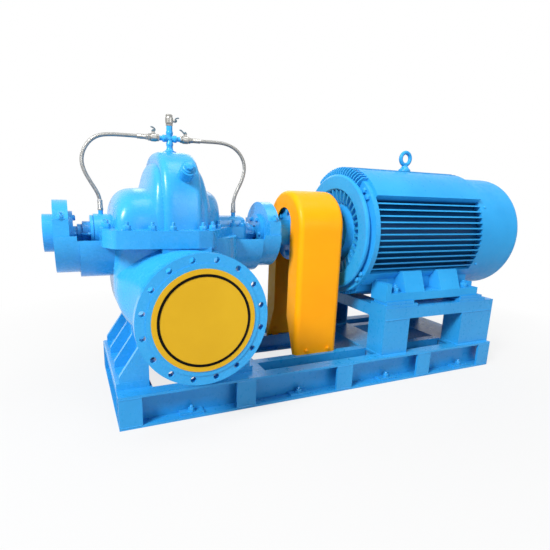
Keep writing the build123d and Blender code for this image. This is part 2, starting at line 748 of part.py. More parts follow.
nipple = 16.0
valve_x = cross_half + nipple
side_nipple = rod_x(10, pump_x + cross_half, pump_x + valve_x, 0, vent_z)
save("vent_side_nipples", side_nipple, mirror_x(side_nipple, pump_x))
valve = Pos(pump_x + valve_x, 0, vent_z) * ball_valve()
save("vent_valve_right", valve)
save("vent_valve_left", mirror_x(valve, pump_x))
top_z = vent_z + 52
top_valve = mirror_x(Pos(pump_x, 0, top_z) * Rot(0, -90, 0) * ball_valve(), pump_x)
save("vent_valve_top", top_valve)
lever_z = vent_z + 24.5
lever_x = pump_x + valve_x + valve_half
right_lever = Pos(lever_x, 0, lever_z) * Rot(0, 0, 180) * lever()
save("vent_lever_right", right_lever)
save("vent_lever_left", mirror_x(right_lever, pump_x))
top_lever = Pos(pump_x - 24.5, 0, top_z + valve_half) * Rot(0, -90, 0) * lever()
save("vent_lever_top", mirror_x(top_lever, pump_x))

# Hoses from the side valves to the stuffing boxes
ferrule = 22.0
hose_start = valve_x + 2 * valve_half + ferrule
box_top = shaft_z + box_r
hose_end_z = box_top + 14 + ferrule
left_route = [(116, 1.0), (162, 1.0), (208, 0.998), (252, 0.992), (292, 0.971), (324, 0.908), (349, 0.806), (363, 0.694),
              (366, 0.585), (358, 0.473), (342, 0.364), (324, 0.2585), (309, 0.163), (303, 0.078), (303, 0.0)]
right_route = [(116, 1.0), (160, 1.0), (204, 1.005), (248, 1.002), (289, 0.969), (323, 0.898), (348, 0.789), (359, 0.66),
               (354, 0.527), (340, 0.401), (322, 0.286), (308, 0.17), (303, 0.078), (303, 0.0)]


def hose(side, route):
    """Hose in the shaft plane: straight runs joined by tangent arcs."""
    span = vent_z - hose_end_z
    points = [(pump_x + side * dx, 0, hose_end_z + span * share) for dx, share in route]
    points[0] = (pump_x + side * hose_start, 0, vent_z)
    points[-1] = (pump_x + side * gland_hose_x, 0, hose_end_z)
    radii = []
    for k in range(1, len(points) - 1):
        a = Vector(*points[k]) - Vector(*points[k - 1])
        b = Vector(*points[k + 1]) - Vector(*points[k])
        turn = radians(a.get_angle(b))
        radii.append(0.45 * min(a.length, b.length) / (sin(turn / 2) / cos(turn / 2)))
    path = FilletPolyline(*points, radius=radii)
    start = Plane(origin=points[0], z_dir=Vector(*points[1]) - Vector(*points[0]))
    print("hose radii", [round(r) for r in radii], "length", round(path.length, 1))
    return sweep(start * Circle(hose_r), path=path)


def hose_fittings(side):
    """Ferrules at both ends and the elbow block on the stuffing box."""
    x0 = pump_x + side * (valve_x + 2 * valve_half)
    x1 = pump_x + side * hose_start
    top = rod_x(nut_r, x0, x1, 0, vent_z)
    xe = pump_x + side * gland_hose_x
    low = rod_z(nut_r, hose_end_z - ferrule, hose_end_z, xe, 0)
    return top, low


for side, name in ((-1, "left"), (1, "right")):
    save("hose_" + name, hose(side, left_route if side < 0 else right_route))
    save("hose_fittings_" + name, *hose_fittings(side))
bosses = []
for side in (-1, 1):
    bosses.append(rod_z(10, box_top - 3, hose_end_z - ferrule, pump_x + side * gland_hose_x, 0) - rod_x(box_r, pump_x - 400, pump_x + 400))
save("hose_nipples", *bosses)
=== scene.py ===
"""Looks of the split-case pump set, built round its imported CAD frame."""
import json
import math

import bpy
import numpy as np
from mathutils import Matrix, Vector


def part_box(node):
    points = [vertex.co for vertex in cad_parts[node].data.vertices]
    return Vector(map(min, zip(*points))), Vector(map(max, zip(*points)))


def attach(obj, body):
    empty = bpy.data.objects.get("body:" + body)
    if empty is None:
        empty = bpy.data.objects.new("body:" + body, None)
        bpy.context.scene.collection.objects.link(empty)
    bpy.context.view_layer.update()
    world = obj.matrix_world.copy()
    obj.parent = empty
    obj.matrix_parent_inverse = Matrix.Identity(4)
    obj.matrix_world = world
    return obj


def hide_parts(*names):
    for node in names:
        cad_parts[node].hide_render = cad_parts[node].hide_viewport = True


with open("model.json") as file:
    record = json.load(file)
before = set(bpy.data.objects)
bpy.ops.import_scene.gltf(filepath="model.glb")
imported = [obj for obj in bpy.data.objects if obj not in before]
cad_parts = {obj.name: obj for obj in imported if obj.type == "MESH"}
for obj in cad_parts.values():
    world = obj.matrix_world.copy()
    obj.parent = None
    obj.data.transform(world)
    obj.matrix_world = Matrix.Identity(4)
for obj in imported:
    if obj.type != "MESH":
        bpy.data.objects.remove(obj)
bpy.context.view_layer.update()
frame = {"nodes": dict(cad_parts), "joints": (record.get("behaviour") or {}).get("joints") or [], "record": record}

TAU = 2 * math.pi
UP = (0, 0, 1)
PLANT = "plant"

# Places in the frame, in metres

joint_at = {joint["name"]: np.array(joint["pos_m"], float) for joint in frame["joints"]}
PUMP_X, SHAFT_Z = joint_at["shaft_rotation"][[0, 2]]
VENT_Z = joint_at["left_valve"][2]
VENT_MID = (PUMP_X, 0, VENT_Z)
SPLIT_FLANGE_T = 0.035
HOOD_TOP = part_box("casing_upper")[1].z
COUPLING_X = (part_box("coupling_pump_half")[1].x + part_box("coupling_motor_half")[0].x) / 2
COWL_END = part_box("motor_fan_cowl")[1].x

# Camera, worked out from the skid's edges and the suction flange

CAM_PLACE = Vector((-1.2348, -2.0291, 0.9421))
CAM_YAW = 0.4397
CAM_PITCH = 0.2384
CAM_ROLL = 0.035
CAM_LENS = 28.24
CAM_SENSOR = 36.0
CAM_SHIFT = (0.0096, 0.0475)
CAM_CLIP = (0.05, 60.0)


def place_camera():
    """Perspective camera: yaw turns it from +Y towards +X, pitch tips it down, roll turns it last."""
    flat = math.cos(CAM_PITCH)
    ahead = Vector((flat * math.sin(CAM_YAW), flat * math.cos(CAM_YAW), -math.sin(CAM_PITCH)))
    level = Vector((math.cos(CAM_YAW), -math.sin(CAM_YAW), 0.0))
    above = level.cross(ahead)
    right = math.cos(CAM_ROLL) * level + math.sin(CAM_ROLL) * above
    up = math.cos(CAM_ROLL) * above - math.sin(CAM_ROLL) * level
    data = bpy.data.cameras.new("photo_camera")
    data.sensor_width = CAM_SENSOR
    data.lens = CAM_LENS
    data.shift_x, data.shift_y = CAM_SHIFT
    data.clip_start, data.clip_end = CAM_CLIP
    camera = bpy.data.objects.new("photo_camera", data)
    turn = Matrix((right, up, -ahead)).transposed().to_4x4()
    camera.matrix_world = Matrix.Translation(CAM_PLACE) @ turn
    bpy.context.scene.collection.objects.link(camera)
    bpy.context.scene.camera = camera


# Node trees

MIX_FIRST, MIX_SECOND, MIX_COLOUR = 6, 7, 2     # the Mix node's sockets for colours, then for values
MIX_FIRST_VALUE, MIX_SECOND_VALUE, MIX_VALUE = 2, 3, 0


class Recipe:
    """Node tree of a material or a world, written as short calls that take and give sockets."""

    def __init__(self, owner):
        owner.use_nodes = True
        self.owner = owner
        self.tree = owner.node_tree
        self.tree.nodes.clear()

    def node(self, kind, inputs=None, **settings):
        """New node with its properties set and its inputs filled, each by a value or from a socket."""
        made = self.tree.nodes.new(kind)
        for key, value in settings.items():
            setattr(made, key, value)
        for key, value in (inputs or {}).items():
            if isinstance(value, bpy.types.NodeSocket):
                self.tree.links.new(value, made.inputs[key])
            else:
                made.inputs[key].default_value = value
        return made

    def math(self, kind, *items):
        """Result of one sum on values or sockets."""
        return self.node("ShaderNodeMath", dict(enumerate(items)), operation=kind).outputs[0]

    def vector(self, kind, *items):
        """Node of one sum on vectors."""
        return self.node("ShaderNodeVectorMath", dict(enumerate(items)), operation=kind)

    def place(self, grain=(1, 1, 1)):
        """Object coordinates, multiplied by the grain's three factors."""
        coords = self.node("ShaderNodeTexCoord").outputs["Object"]
        return self.node("ShaderNodeMapping", {"Vector": coords, "Scale": grain}).outputs["Vector"]

    def noise(self, where, scale, detail=3.0, rough=0.55):
        """Noise value at a place, with about as many ripples to the metre as its scale."""
        inputs = {"Vector": where, "Scale": scale, "Detail": detail, "Roughness": rough}
        return self.node("ShaderNodeTexNoise", inputs).outputs["Fac"]

    def ramp(self, value, stops):
        """Colour between two (position, colour) stops."""
        made = self.node("ShaderNodeValToRGB", {"Fac": value})
        for element, (position, colour) in zip(made.color_ramp.elements, stops):
            element.position = position
            element.color = (*colour, 1.0)
        return made.outputs["Color"]

    def spread(self, value, low, high, from_low, from_high, **settings):
        """Value mapped from one range to another and held at the ends."""
        inputs = {"Value": value, "From Min": from_low, "From Max": from_high, "To Min": low, "To Max": high}
        return self.node("ShaderNodeMapRange", inputs, **settings).outputs["Result"]

    def mix(self, paint, colour, share):
        """Paint with a share of another colour in it."""
        inputs = {0: share, MIX_FIRST: paint, MIX_SECOND: (*colour, 1.0)}
        return self.node("ShaderNodeMix", inputs, data_type="RGBA").outputs[MIX_COLOUR]

    def bump(self, layers):
        """Normal after a chain of bumps, each a (height, distance, strength)."""
        normal = None
        for height, distance, strength in layers:
            inputs = {"Height": height, "Distance": distance, "Strength": strength}
            if normal:
                inputs["Normal"] = normal
            normal = self.node("ShaderNodeBump", inputs).outputs["Normal"]
        return normal

    def surface(self, inputs):
        """Principled surface with these inputs; gives the finished material."""
        shader = self.node("ShaderNodeBsdfPrincipled", inputs)
        self.node("ShaderNodeOutputMaterial", {"Surface": shader.outputs["BSDF"]})
        return self.owner


# Finishes

DRIFT_SCALE = 3.1           # noise scales, in ripples to the metre
GRAIN_SCALE = 38.0
GRIT_SCALE = 190.0
PEEL_SCALE = 420.0
CLOUD_SCALE = 9.0
DUST = (0.45, 0.56, 0.62)
COAT_SHARE = 0.3
COAT_ROUGH = 0.16


def enamel(name, colour, deep, rough=0.24, cast=0.0, peel=0.3, dust=0.06, gloss=0.32, shade=None):
    """Sprayed machine enamel: colour drift, thin dust, orange peel and, on castings, sand texture.
    A shade function may paint shade into the paint's colour by place."""
    r = Recipe(bpy.data.materials.new(name))
    where = r.place()
    drift = r.noise(where, DRIFT_SCALE, 4.0)
    grain = r.noise(where, GRAIN_SCALE, 5.0, 0.6)
    grit = r.noise(where, GRIT_SCALE)
    skin = r.noise(where, PEEL_SCALE, 2.0)
    paint = r.ramp(drift, [(0.34, deep), (0.60, colour)])
    paint = r.mix(paint, DUST, r.spread(grain, 0.0, dust, 0.58, 0.80))
    if shade:
        paint = shade(r, paint)
    layers = [(skin, 0.0004, peel)]
    if cast:
        layers += [(grit, 0.0010, cast), (grain, 0.0022, 0.8 * cast)]
    return r.surface({
        "Base Color": paint,
        "Roughness": r.spread(grain, 0.8 * rough, 1.5 * rough, 0.35, 0.72),
        "Specular IOR Level": gloss,
        "Coat Weight": COAT_SHARE * gloss,
        "Coat Roughness": COAT_ROUGH,
        "Normal": r.bump(layers),
    })


def metal(name, colour, rough, grain_scale, grain=(1, 1, 1)):
    """Bare metal with drawn or turned grain: one noise tints and lifts it, a broad one clouds its shine."""
    r = Recipe(bpy.data.materials.new(name))
    lines = r.noise(r.place(grain), grain_scale, 4.0, 0.6)
    cloud = r.noise(r.place(), CLOUD_SCALE)
    dark = tuple(0.78 * part for part in colour)
    return r.surface({
        "Base Color": r.ramp(lines, [(0.3, dark), (0.7, colour)]),
        "Metallic": 1.0,
        "Roughness": r.spread(cloud, 0.7 * rough, 1.5 * rough, 0.3, 0.7),
        "Normal": r.bump([(lines, 0.0002, 0.5)]),
    })


SLOT_PITCH = 0.021          # from one ring of slots to the next
SLOT_RADII = (0.060, 0.268)
# colour of the painted shade inside the slots
SLOT_SHADE = (0.004, 0.006, 0.010)
SPOKE_TURNS = 4.0           # half as many as the spokes


def air_slot_shade(r, paint):
    """Air slots in the cowl's end, drawn as painted shade: dark where the sine of the radius over the slot
    pitch is high, but for spokes where the sine of a multiple of the angle is near zero, between two radii."""
    coords = r.node("ShaderNodeTexCoord").outputs["Object"]
    x, y, z = r.node("ShaderNodeSeparateXYZ", {0: coords}).outputs
    z = r.math("SUBTRACT", z, SHAFT_Z)
    radius = r.math("SQRT", r.math("ADD", r.math("MULTIPLY", y, y), r.math("MULTIPLY", z, z)))
    angle = r.math("ARCTAN2", z, y)
    ring = r.math("GREATER_THAN", r.math("SINE", r.math("MULTIPLY", radius, TAU / SLOT_PITCH)), 0.10)
    spoke_wave = r.math("ABSOLUTE", r.math("SINE", r.math("MULTIPLY", angle, SPOKE_TURNS)))
    beside_spoke = r.math("GREATER_THAN", spoke_wave, 0.16)
    outside_hub = r.math("GREATER_THAN", radius, SLOT_RADII[0])
    inside_rim = r.math("LESS_THAN", radius, SLOT_RADII[1])
    at_end = r.math("GREATER_THAN", x, COWL_END - 0.004)
    slots = r.math("MULTIPLY", ring, beside_spoke)
    for limit in (outside_hub, inside_rim, at_end):
        slots = r.math("MULTIPLY", slots, limit)
    return r.mix(paint, SLOT_SHADE, slots)


# Painted shade between the motor frame's fins, darkest at their roots
FIN_SHADE = (0.002, 0.060, 0.190)
FIN_SHADE_SHARE = 0.86
FIN_ROOT = 0.296            # radius below which the paint is darkest
FIN_TIP = 0.320             # radius above which it is clean


def painted_shade_between_fins(r, paint):
    """Painted shade down between the fins: the paint darkens as the distance from the shaft's line falls
    from the fins' tips to their roots."""
    coords = r.node("ShaderNodeTexCoord").outputs["Object"]
    from_shaft = r.vector("SUBTRACT", coords, (0, 0, SHAFT_Z)).outputs[0]
    square_to_it = r.vector("MULTIPLY", from_shaft, (0, 1, 1)).outputs[0]
    radius = r.vector("LENGTH", square_to_it).outputs["Value"]
    depth = r.spread(radius, FIN_SHADE_SHARE, 0.0, FIN_ROOT, FIN_TIP, interpolation_type="SMOOTHSTEP")
    return r.mix(paint, FIN_SHADE, depth)


LAY_MAP = "lay"             # along the hose in metres, then once round it
STRANDS_ALONG = 240.0       # strands of one set to the metre
STRANDS_ROUND = 9.0         # and in one turn


def braid_wire(name):
    """Woven wire on the hose's own map: along plus around counts the strands of one set, along less
    around those of the other. A half sine wave rounds each strand, and whether the two counts add up to
    an odd number says which set lies on top. The colour follows the same height, darker down in the
    grooves as painted shade."""
    r = Recipe(bpy.data.materials.new(name))
    lay = r.node("ShaderNodeUVMap", uv_map=LAY_MAP).outputs["UV"]
    x, y = r.node("ShaderNodeSeparateXYZ", {"Vector": lay}).outputs[:2]
    along = r.math("MULTIPLY", x, STRANDS_ALONG)
    around = r.math("MULTIPLY", y, STRANDS_ROUND)
    first = r.math("ADD", along, around)
    second = r.math("SUBTRACT", along, around)
    crossing = r.math("ADD", r.math("FLOOR", first), r.math("FLOOR", second))
    over = r.math("GREATER_THAN", r.math("FRACT", r.math("MULTIPLY", crossing, 0.5)), 0.25)
    waves = []
    for strand in (first, second):
        waves.append(r.math("SINE", r.math("MULTIPLY", r.math("FRACT", strand), math.pi)))
    pick = {0: over, MIX_FIRST_VALUE: waves[0], MIX_SECOND_VALUE: waves[1]}
    high = r.node("ShaderNodeMix", pick, data_type="FLOAT").outputs[MIX_VALUE]
    return r.surface({
        # darker down in the grooves between strands: painted shade
        "Base Color": r.ramp(high, [(0.10, (0.07, 0.07, 0.068)), (0.80, (0.40, 0.40, 0.385))]),
        "Metallic": 0.9,
        "Roughness": 0.36,
        "Normal": r.bump([(high, 0.0006, 0.8)]),
    })


# Paints, each with the deep tone that it drifts to

BLUE = (0.030, 0.355, 0.750)
BLUE_DEEP = (0.022, 0.310, 0.690)
SKID = ((0.024, 0.315, 0.690), (0.019, 0.275, 0.630))
SHADOW = ((0.006, 0.030, 0.075), (0.004, 0.022, 0.060))
GUARD = ((1.0, 0.385, 0.0), (0.98, 0.360, 0.0))
COVER = ((0.66, 0.385, 0.012), (0.62, 0.355, 0.010))
RING = ((0.006, 0.006, 0.006), (0.002, 0.002, 0.002))
GRIP = ((0.085, 0.150, 0.195), (0.060, 0.115, 0.155))

CAST_BLUE = enamel("casting_enamel", BLUE, BLUE_DEEP, cast=0.20)
MOTOR_BLUE = enamel("motor_enamel", BLUE, BLUE_DEEP, rough=0.30, cast=0.10, gloss=0.22)
# cowl enamel, with the slots' shade painted on its end
COWL_BLUE = enamel("cowl_enamel", BLUE, BLUE_DEEP, rough=0.40, peel=0.35, gloss=0.16, shade=air_slot_shade)
SKID_BLUE = enamel("skid_enamel", *SKID, rough=0.30, peel=0.5, dust=0.08)
# frame enamel, with painted shade between the fins
FRAME_BLUE = enamel("frame_enamel", BLUE, BLUE_DEEP, rough=0.34, cast=0.10, gloss=0.13, shade=painted_shade_between_fins)
# dark paint for painted shadow in gaps
GAP_SHADOW = enamel("joint_shadow", *SHADOW, rough=0.60, peel=0.2, dust=0.0, gloss=0.1)
ORANGE = enamel("guard_orange", *GUARD, rough=0.42, peel=0.2, dust=0.0, gloss=0.16)
YELLOW = enamel("cover_yellow", *COVER, rough=0.42, peel=0.1, dust=0.0, gloss=0.16)
BLACK = enamel("ring_black", *RING, rough=0.60, peel=0.2, dust=0.0, gloss=0.05)
SHAFT_STEEL = metal("turned_steel", (0.56, 0.56, 0.57), rough=0.26, grain_scale=12.0, grain=(90, 1, 1))
COUPLING_BLUE = enamel("coupling_enamel", BLUE, BLUE_DEEP, rough=0.32, cast=0.06)
NICKEL = metal("nickel_fittings", (0.40, 0.395, 0.375), rough=0.30, grain_scale=90.0)
HANDLE = enamel("handle_grey_blue", *GRIP, rough=0.35, peel=0.3, dust=0.1, gloss=0.4)
ZINC = metal("zinc_fasteners", (0.50, 0.51, 0.53), rough=0.33, grain_scale=120.0)
BRAID = braid_wire("wire_braid")

# Finish of the CAD nodes by record slot, and nodes with a finish of their own

NODE_FINISH = {
    "blue_paint_skid": SKID_BLUE,
    "blue_paint_casting": CAST_BLUE,
    "blue_paint_motor": MOTOR_BLUE,
    "orange_paint": ORANGE,
    "yellow_cover": YELLOW,
    "black_ring": BLACK,
    "steel": SHAFT_STEEL,
    "coupling_iron": COUPLING_BLUE,
    "bright_fittings": NICKEL,
    "braid": NICKEL,
}

OWN_FINISH = {
    "motor_fan_cowl": COWL_BLUE,
    "motor_frame": FRAME_BLUE,
    "shaft_sleeves": COUPLING_BLUE,
    "pump_shaft": COUPLING_BLUE,
}


def dress_nodes():
    """Give each CAD node its own finish, or the finish of its record slot."""
    slots = {entry["node"]: entry["material_slot"] for entry in frame["record"]["subparts"]}
    for name, node in frame["nodes"].items():
        node.data.materials.clear()
        node.data.materials.append(OWN_FINISH.get(name, NODE_FINISH[slots[name]]))


# Shapes worked out as arrays: a shape is (points, quads, triangles)

def closed_rings(ring):
    """Skin over rings of points (rows, sides, 3): each ring joins the next, and both ends are closed
    by a fan about the ring's mean point. Rows run so that the skin faces outwards."""
    rows, sides = ring.shape[:2]
    index = np.arange(rows * sides).reshape(rows, sides)
    across = np.roll(index, -1, 1)
    quads = np.stack([index[:-1], across[:-1], across[1:], index[1:]], -1).reshape(-1, 4)
    ends = np.stack([ring[0].mean(0), ring[-1].mean(0)])
    low = np.full(sides, rows * sides)
    fans = [np.stack([across[0], index[0], low], -1), np.stack([index[-1], across[-1], low + 1], -1)]
    return np.concatenate([ring.reshape(-1, 3), ends]), quads, np.concatenate(fans)


def rings_about_z(radius, height):
    """Skin over rings about +Z: (radius cosine, radius sine, height) of evenly spaced angles, with the
    radius an array (rows, sides) and one height for each row."""
    angle = np.arange(radius.shape[1]) * TAU / radius.shape[1]
    height = np.repeat(np.asarray(height, float)[:, None], len(angle), 1)
    return closed_rings(np.stack([radius * np.cos(angle), radius * np.sin(angle), height], -1))


def turned(profile, sides=24):
    """Surface of revolution about +Z through a profile of (radius, height)."""
    profile = np.array(profile, float)
    return rings_about_z(np.repeat(profile[:, :1], sides, 1), profile[:, 1])


def joined(*shapes):
    """Several shapes as one, their faces counted on from each other."""
    points, quads, tris, count = [], [], [], 0
    for shape_points, shape_quads, shape_tris in shapes:
        points.append(shape_points)
        quads.append(shape_quads + count)
        tris.append(shape_tris + count)
        count += len(shape_points)
    return np.concatenate(points), np.concatenate(quads), np.concatenate(tris)


def at_frames(shape, frames):
    """The shape once in each frame: every point times every 4 x 4 matrix, in one product."""
    points, quads, tris = shape
    wide = np.concatenate([points, np.ones((len(points), 1))], 1)
    placed = np.einsum("fij,vj->fvi", np.asarray(frames, float), wide)[..., :3].reshape(-1, 3)
    step = (np.arange(len(frames)) * len(points))[:, None, None]
    return placed, (quads[None] + step).reshape(-1, 4), (tris[None] + step).reshape(-1, 3)


def frames_on(points, up, spin=0.0):
    """Frames at the points with Z along up and X turned by the spin from a level line."""
    points = np.asarray(points, float).reshape(-1, 3)
    up = np.broadcast_to(np.asarray(up, float), points.shape)
    up = up / np.linalg.norm(up, axis=1, keepdims=True)
    upright = np.abs(up[:, 2:3]) > 0.9
    helper = np.where(upright, np.array([[1.0, 0, 0]]), np.array([[0, 0, 1.0]]))
    side = np.cross(helper, up)
    side /= np.linalg.norm(side, axis=1, keepdims=True)
    other = np.cross(up, side)
    spin = np.broadcast_to(np.asarray(spin, float), (len(points),))[:, None]
    x_way = np.cos(spin) * side + np.sin(spin) * other
    frames = np.zeros((len(points), 4, 4))
    frames[:, :3, 0], frames[:, :3, 1], frames[:, :3, 2] = x_way, np.cross(up, x_way), up
    frames[:, :3, 3] = points
    frames[:, 3, 3] = 1
    return frames


def set_on(shape, points, up, spin=0.0):
    """The shape once at each point, with its Z along up."""
    return at_frames(shape, frames_on(points, up, spin))


def own_frame(x_way, y_way, z_way, origin):
    """Frame with these three ways and this origin."""
    made = np.eye(4)
    made[:3] = np.column_stack([x_way, y_way, z_way, origin])
    return made


def circle(radius, sides):
    """Section of a round: radius times the cosine and sine of evenly spaced angles."""
    angle = np.arange(sides) * TAU / sides
    return radius * np.stack([np.cos(angle), np.sin(angle)], -1)


def carried(path, side, section, scales=None):
    """A closed section (points (across, up)) carried along a path: at each path point the section, times
    that point's scale, lies along the side way and its cross product with the path's direction."""
    path = np.asarray(path, float)
    ahead = np.gradient(path, axis=0)
    ahead /= np.linalg.norm(ahead, axis=1, keepdims=True)
    side = np.broadcast_to(np.asarray(side, float), path.shape)
    side = side - (side * ahead).sum(1, keepdims=True) * ahead
    side /= np.linalg.norm(side, axis=1, keepdims=True)
    over = np.cross(ahead, side)
    scales = np.ones(len(path)) if scales is None else scales
    offset = section[None, :, :1] * side[:, None] + section[None, :, 1:2] * over[:, None]
    return closed_rings(path[:, None] + scales[:, None, None] * offset)


def plate(outline, half):
    """Flat plate across X: its outline in (x, radius), moved by half its thickness to each side."""
    outline = np.asarray(outline, float)
    rings = [np.insert(outline, 1, side * half, axis=1) for side in (1, -1)]
    return closed_rings(np.stack(rings))


def soft_slab(size_x, size_y, size_z, edge):
    """Plate with rounded upright edges and a small bevel: a rounded rectangle, whose corners are
    quarter circles of the edge radius, drawn in by the bevel at the top and bottom."""
    corner_points = 4
    corner = np.linspace(0, math.pi / 2, corner_points)
    centres = np.array([(1, 1), (-1, 1), (-1, -1), (1, -1)]) * (size_x / 2 - edge, size_y / 2 - edge)
    angle = (np.arange(4)[:, None] * math.pi / 2 + corner).ravel()
    middle = np.repeat(centres, corner_points, 0)
    bevel = min(0.35 * edge, 0.3 * size_z)
    rings = []
    for z, inset in ((0, bevel), (bevel, 0), (size_z - bevel, 0), (size_z, bevel)):
        flat = middle + (edge - inset) * np.stack([np.cos(angle), np.sin(angle)], -1)
        rings.append(np.insert(flat, 2, z, axis=1))
    return closed_rings(np.stack(rings))


SMOOTH_BELOW = math.radians(38)


def piece(name, shape, finish, body=PLANT):
    """Mesh object of a shape, at the origin, riding on a body."""
    points, quads, tris = shape
    mesh = bpy.data.meshes.new(name)
    mesh.vertices.add(len(points))
    mesh.vertices.foreach_set("co", points.astype(np.float32).ravel())
    corners = np.concatenate([quads.ravel(), tris.ravel()]).astype(np.int32)
    counts = np.repeat([4, 3], [len(quads), len(tris)])
    mesh.loops.add(len(corners))
    mesh.loops.foreach_set("vertex_index", corners)
    mesh.polygons.add(len(counts))
    mesh.polygons.foreach_set("loop_start", (np.cumsum(counts) - counts).astype(np.int32))
    mesh.polygons.foreach_set("loop_total", counts.astype(np.int32))
    mesh.update(calc_edges=True)
    mesh.validate()
    mesh.polygons.foreach_set("use_smooth", np.ones(len(counts), bool))
    mesh.set_sharp_from_angle(angle=SMOOTH_BELOW)
    mesh.materials.append(finish)
    obj = bpy.data.objects.new(name, mesh)
    bpy.context.scene.collection.objects.link(obj)
    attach(obj, body)
    return obj


# Fasteners

def hex_nut(flats, height, washer=0.0):
    """Nut or bolt head: a hexagon trimmed by a cone at both ends, so its radius is the smaller of the
    hexagon's and the cone's; a round washer may lie under it."""
    sides = 24
    flat_r = flats / 2
    corner_r = flat_r / math.cos(TAU / 12)
    trim = 0.6 * (corner_r - flat_r)
    from_flat = np.mod(np.arange(sides) * TAU / sides, TAU / 6) - TAU / 12
    hexagon = flat_r / np.cos(from_flat)
    cone = np.array([0.99 * flat_r, corner_r, corner_r, 0.97 * flat_r])
    rise = washer + np.array([0, trim, height - trim, height])
    nut = rings_about_z(np.minimum(hexagon[None], cone[:, None]), rise)
    if not washer:
        return nut
    rim_r = 1.18 * corner_r
    disc = [(1.12 * corner_r, 0), (rim_r, 0.3 * washer), (rim_r, 0.8 * washer), (1.1 * corner_r, washer)]
    return joined(turned(disc), nut)


def thread_end(radius, start, end):
    """Stud end: the radius alternates between crest and root every half pitch, with a tapered tip."""
    pitch = 0.0025
    depth = 0.0007
    count = max(3, int((end - start) / (pitch / 2)))
    z = np.linspace(start, end - 0.25 * radius, count)
    r = radius - depth * (np.arange(count) % 2)
    return turned([*zip(r, z), (0.78 * radius, end)], 12)


def stud_with_nut(flats, height, proud, washer):
    """Stud standing proud of its nut, on a washer."""
    stud = thread_end(0.30 * flats, 0.5 * height, height + washer + proud)
    return joined(hex_nut(flats, height, washer), stud)


def round_shaft(radius, angles, x):
    """Points round the shaft line at one x: radius times cosine and sine of the angles."""
    y, z = radius * np.cos(angles), SHAFT_Z + radius * np.sin(angles)
    return np.column_stack([np.full(len(angles), x), y, z])


def ring_points(radius, count, x, start_deg=0.0):
    """Evenly spaced points round the shaft line at one x."""
    return round_shaft(radius, math.radians(start_deg) + np.arange(count) * TAU / count, x)


def spins(count, seed):
    """A settled, uneven turn for each fastener."""
    return np.random.default_rng(seed).uniform(0, TAU, count)


def bolt_rings(shape, rings, count, seed, start_deg=0.0):
    """The shape in rings round the shaft line, each ring a (radius, x, way along X)."""
    frames = []
    for radius, x, way in rings:
        frames.append(frames_on(ring_points(radius, count, x, start_deg), (way, 0, 0), spins(count, seed)))
    return at_frames(shape, np.concatenate(frames))


def fasten_split_flange():
    """Studs round the casing joint, front row and its mirror image behind, each place chosen as (distance
    from the pump's middle plane, Y)."""
    front = np.array([
        (-0.231, -0.286), (-0.136, -0.295), (-0.056, -0.299), (0.066, -0.298), (0.122, -0.247),
        (0.172, -0.172), (0.272, -0.090), (0.318, -0.090), (-0.296, -0.190), (-0.296, -0.112),
    ])
    rows = np.concatenate([front, front * (1, -1)])
    points = np.insert(rows + (PUMP_X, 0), 2, SHAFT_Z + SPLIT_FLANGE_T, axis=1)
    stud = stud_with_nut(flats=0.026, height=0.016, proud=0.014, washer=0.0025)
    piece("split_flange_studs", set_on(stud, points, UP, spins(len(points), 3)), CAST_BLUE)


CAP_PAD = (0.4605, 0.146, 0.066)    # off the pump's middle plane, out and up from the shaft line
END_HEAD = (0.0075, 0.0015)         # head and washer, let into the left cover to keep the set's length
END_BOLT_RADII = (0.064, 0.0775)
INNER_BOLT_RADIUS = 0.074
GLAND_STUDS = (0.0625, 0.349)       # radius, and distance from the pump's middle plane
GLAND_FACE = 0.3325                 # place of the gland's face and its ring of painted shadow, from the pump's middle plane


def fasten_bearings():
    """Nuts on the cap pads, and bolts in the end covers and inner covers."""
    off, out, rise = CAP_PAD
    pads = [(PUMP_X + side * off, y, SHAFT_Z + rise) for side in (-1, 1) for y in (-out, out)]
    nut = stud_with_nut(flats=0.024, height=0.015, proud=0.010, washer=0.0025)
    piece("bearing_cap_nuts", set_on(nut, pads, UP, spins(len(pads), 5)), CAST_BLUE)
    left_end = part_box("bearing_cover_left")[0].x + sum(END_HEAD)
    right_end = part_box("bearing_cover_right")[1].x
    ends = [(END_BOLT_RADII[0], left_end, -1), (END_BOLT_RADII[1], right_end, 1)]
    piece("end_cover_bolts", bolt_rings(hex_nut(0.017, *END_HEAD), ends, 6, 7, start_deg=30), CAST_BLUE)
    left_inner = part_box("inner_cover_left")[1].x
    right_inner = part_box("inner_cover_right")[0].x
    inner = [(INNER_BOLT_RADIUS, left_inner, 1), (INNER_BOLT_RADIUS, right_inner, -1)]
    head = hex_nut(flats=0.017, height=0.009, washer=0.0015)
    piece("inner_cover_bolts", bolt_rings(head, inner, 6, 9), CAST_BLUE)


def fasten_glands():
    """Two studs in each gland, a dark ring of painted shadow in its gap against the stuffing box, and its raised
    rim.
    """
    radius, off = GLAND_STUDS
    stud = stud_with_nut(flats=0.0165, height=0.011, proud=0.024, washer=0.0015)
    rings = [(radius, PUMP_X + side * off, side) for side in (-1, 1)]
    piece("gland_studs", bolt_rings(stud, rings, 2, 11), CAST_BLUE)
    faces = [(PUMP_X + side * GLAND_FACE, 0, SHAFT_Z) for side in (-1, 1)]
    ways = [(side, 0, 0) for side in (-1, 1)]
    # dark ring of painted shadow in the gap between gland and stuffing box
    seam = turned([(0.0745, 0.0), (0.0752, 0.0008), (0.0752, 0.0022), (0.0745, 0.003)], 64)
    piece("gland_seams", set_on(seam, faces, ways), GAP_SHADOW)
    rim = [(0.0745, 0.004), (0.0765, 0.006), (0.0765, 0.0150), (0.0750, 0.0165), (0.0700, 0.0168)]
    piece("gland_rims", set_on(turned(rim, 64), faces, ways), CAST_BLUE)


